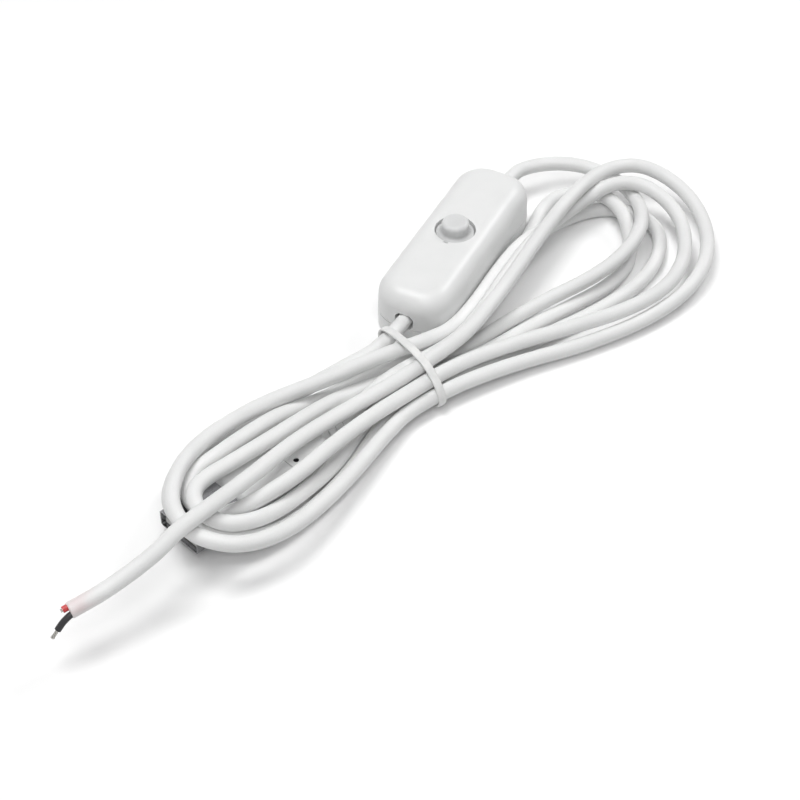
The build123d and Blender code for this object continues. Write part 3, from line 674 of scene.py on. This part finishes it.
# Camera of the photograph
camera = bpy.data.objects.new("camera", bpy.data.cameras.new("camera"))
bpy.context.scene.collection.objects.link(camera)
eye = Vector((-316.75, -142.66, 304.06)) * MM
target = Vector((-44.41, -7.47, 0)) * MM
camera.location = eye
camera.rotation_euler = (target - eye).to_track_quat("-Z", "Y").to_euler()
camera.data.lens = 85.7
camera.data.sensor_width = 36.0
camera.data.clip_start = 0.01
bpy.context.scene.camera = camera


def seen_directly(start):
    """1 for what the camera sees straight or by reflection, 0 for light that falls on things."""
    path = start.node("ShaderNodeLightPath", output="Is Camera Ray")
    glossy = start.node("ShaderNodeLightPath", output="Is Glossy Ray")
    clear = start.node("ShaderNodeLightPath", output="Is Transmission Ray")
    return path.math("MAXIMUM", path, path.math("MAXIMUM", glossy, clear))


def studio_floor():
    """Level square round the object, a grid of points at height 0, with a pale paper finish.

    Away from the object, where the lamps fade, the paper is seen as white all the same.
    """
    material = bpy.data.materials.new("paper")
    material.use_nodes = True
    tree = material.node_tree
    tree.nodes.clear()
    start = Flow(tree)
    place = start.node("ShaderNodeTexCoord", output="Object")
    fibre = tint(cloud(place, 2 * MM, 3.0), (0.83, 0.83, 0.83, 1), (0.81, 0.81, 0.81, 1))
    colour = tint(seen_directly(start), fibre, (0.98, 0.98, 0.98, 1))
    sockets = {"Base Color": colour, "Roughness": 0.9, "Specular IOR Level": 0.1}
    paper = start.node("ShaderNodeBsdfPrincipled", None, sockets, "BSDF")
    away = place.node("ShaderNodeVectorMath", {"operation": "LENGTH"}, {0: place}, "Value")
    faded = rise(away, FLOOR_LIT, FLOOR_FADED)
    strength = (FLOOR_GLOW + (1 - FLOOR_GLOW) * faded) * seen_directly(start)
    glow = start.node("ShaderNodeEmission", None, {"Color": (1, 1, 1, 1), "Strength": strength})
    both = start.node("ShaderNodeAddShader", None, {0: paper, 1: glow})
    start.node("ShaderNodeOutputMaterial", None, {"Surface": both})
    side = FLOOR_SQUARES + 1
    spread = np.linspace(-FLOOR_REACH, FLOOR_REACH, side)
    x, y = np.meshgrid(spread, spread, indexing="ij")
    points = np.stack([x, y, np.zeros_like(x)], axis=-1).reshape(-1, 3)
    row, column = np.meshgrid(np.arange(FLOOR_SQUARES), np.arange(FLOOR_SQUARES), indexing="ij")
    corner = (row * side + column).ravel()
    faces = np.c_[corner, corner + side, corner + side + 1, corner + 1].tolist()
    mesh = bpy.data.meshes.new("studio_floor")
    mesh.from_pydata(points.tolist(), [], faces)
    mesh.materials.append(material)
    floor = bpy.data.objects.new("studio_floor", mesh)
    bpy.context.scene.collection.objects.link(floor)


def softbox(name, place, aim, size, watts):
    """Square area lamp at a place, turned to its aim."""
    lamp = bpy.data.lights.new(name, "AREA")
    lamp.shape = "SQUARE"
    lamp.size = size
    lamp.energy = watts
    holder = bpy.data.objects.new(name, lamp)
    holder.location = place
    holder.rotation_euler = (Vector(aim) - Vector(place)).to_track_quat("-Z", "Y").to_euler()
    bpy.context.scene.collection.objects.link(holder)


studio_floor()
middle = (-0.03, -0.01, 0.005)
softbox("key", (-0.08, 0.21, 0.95), middle, 0.44, 4.7)
softbox("front", (-0.435, -0.21, 0.79), middle, 0.5, 2.6)
softbox("edge", (0.6, -0.25, 0.6), middle, 0.25, 1.7)

world = bpy.data.worlds.new("studio")
bpy.context.scene.world = world
world.use_nodes = True
world.node_tree.nodes.clear()
air = Flow(world.node_tree)
light = air.node("ShaderNodeBackground", None, {"Color": (1, 1, 1, 1), "Strength": FILL_LIGHT})
white = air.node("ShaderNodeBackground", None, {"Color": (1, 1, 1, 1), "Strength": 1.0})
sky = air.node("ShaderNodeMixShader", None, {0: seen_directly(air), 1: light, 2: white})
air.node("ShaderNodeOutputWorld", None, {"Surface": sky})

bpy.context.scene.view_settings.view_transform = "Standard"
